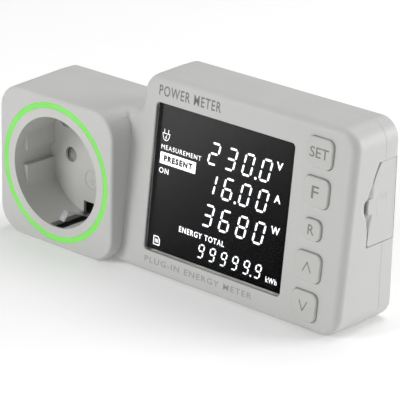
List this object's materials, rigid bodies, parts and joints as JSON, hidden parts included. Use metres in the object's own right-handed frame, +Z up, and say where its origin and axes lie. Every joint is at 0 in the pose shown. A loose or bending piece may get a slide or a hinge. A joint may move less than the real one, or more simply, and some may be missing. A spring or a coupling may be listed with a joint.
{
  "type": "plug-in power meter",
  "caption": "Mains plug-through power meter: an earthed socket block with a light ring, a tilted display block with a window and a key column, and a plug on the back.",
  "frame": {"origin": "on the underside, straight below the socket's axis and halfway through the housing's depth", "axes": "+X along the housing from the socket towards the display, +Y from the front face towards the wall, +Z up"},
  "size_m": [0.149, 0.069, 0.069],
  "materials": {
    "shell": "fine matt texture",
    "socket": "satin",
    "plug": "satin",
    "keys": "satin",
    "light_ring": "translucent green",
    "window": "polished",
    "lcd": "polished",
    "white_plastic": "satin",
    "shutter_plastic": "satin",
    "board": "solder mask",
    "black_plastic": "moulded",
    "sleeve": "shrink sleeve",
    "yellow_plastic": "moulded",
    "blue_coating": "dipped",
    "lamp": "cast",
    "plunger": "moulded",
    "fuse_glass": "polished",
    "brass": "nickel-plated in parts",
    "copper": "bare",
    "steel": "zinc-plated"
  },
  "bodies": {
    "housing": {"front_shell": "shell", "rear_shell": "shell", "socket_cup": "socket", "ring_light": "light_ring", "ring_board": "board", "ring_leds": "lamp", "shutter_guide": "white_plastic", "shutter_spring": "steel", "earth_strap": "steel", "live_contact": "brass", "neutral_contact": "brass", "plug_base": "plug", "plug_base_screws": "steel", "live_pin": "brass", "neutral_pin": "brass", "plug_earth_strap": "steel", "earth_sleeve": "brass", "earth_rivet": "steel", "live_busbar": "copper", "shunt": "copper", "power_board": "board", "filter_capacitor": "yellow_plastic", "varistor": "blue_coating", "fuse": "fuse_glass", "transformer": "black_plastic", "smoothing_capacitors": "sleeve", "metering_chip": "black_plastic", "board_link": "black_plastic", "cell_holder": "white_plastic", "coin_cell": "steel", "card_slot": "steel", "display_board": "board", "display_chip": "black_plastic", "key_switches": "black_plastic", "backlight": "white_plastic", "lcd_panel": "lcd", "lcd_frame": "white_plastic", "display_window": "window", "housing_screws": "steel", "display_board_screws": "steel", "power_board_screws": "steel"},
    "key_set": {"button_set": "keys", "plunger_set": "plunger"},
    "key_function": {"button_function": "keys", "plunger_function": "plunger"},
    "key_reset": {"button_reset": "keys", "plunger_reset": "plunger"},
    "key_up": {"button_up": "keys", "plunger_up": "plunger"},
    "key_down": {"button_down": "keys", "plunger_down": "plunger"},
    "shutter": {"shutter": "shutter_plastic"},
    "card_flap": {"card_flap": "shell"}
  },
  "joints": [
    {"name": "key_set_press", "type": "slide", "parent": "housing", "child": "key_set", "axis": [0, 0.9942, -0.108], "range_m": [0, 0.0005], "stiffness_N_per_m": 900, "springref_m": -0.0005},
    {"name": "key_function_press", "type": "slide", "parent": "housing", "child": "key_function", "axis": [0, 0.9942, -0.108], "range_m": [0, 0.0005], "stiffness_N_per_m": 900, "springref_m": -0.0005},
    {"name": "key_reset_press", "type": "slide", "parent": "housing", "child": "key_reset", "axis": [0, 0.9942, -0.108], "range_m": [0, 0.0005], "stiffness_N_per_m": 900, "springref_m": -0.0005},
    {"name": "key_up_press", "type": "slide", "parent": "housing", "child": "key_up", "axis": [0, 0.9942, -0.108], "range_m": [0, 0.0005], "stiffness_N_per_m": 900, "springref_m": -0.0005},
    {"name": "key_down_press", "type": "slide", "parent": "housing", "child": "key_down", "axis": [0, 0.9942, -0.108], "range_m": [0, 0.0005], "stiffness_N_per_m": 900, "springref_m": -0.0005},
    {"name": "shutter_slide", "type": "slide", "parent": "housing", "child": "shutter", "axis": [0, 0, -1], "range_m": [0, 0.0062], "stiffness_N_per_m": 60, "springref_m": -0.003, "deforming": ["shutter_spring"]},
    {"name": "card_flap_hinge", "type": "hinge", "parent": "housing", "child": "card_flap", "pos_m": [0.12095, 0.0149, 0.04265], "axis": [0, 0, 1], "range_deg": [0, 90]}
  ]
}
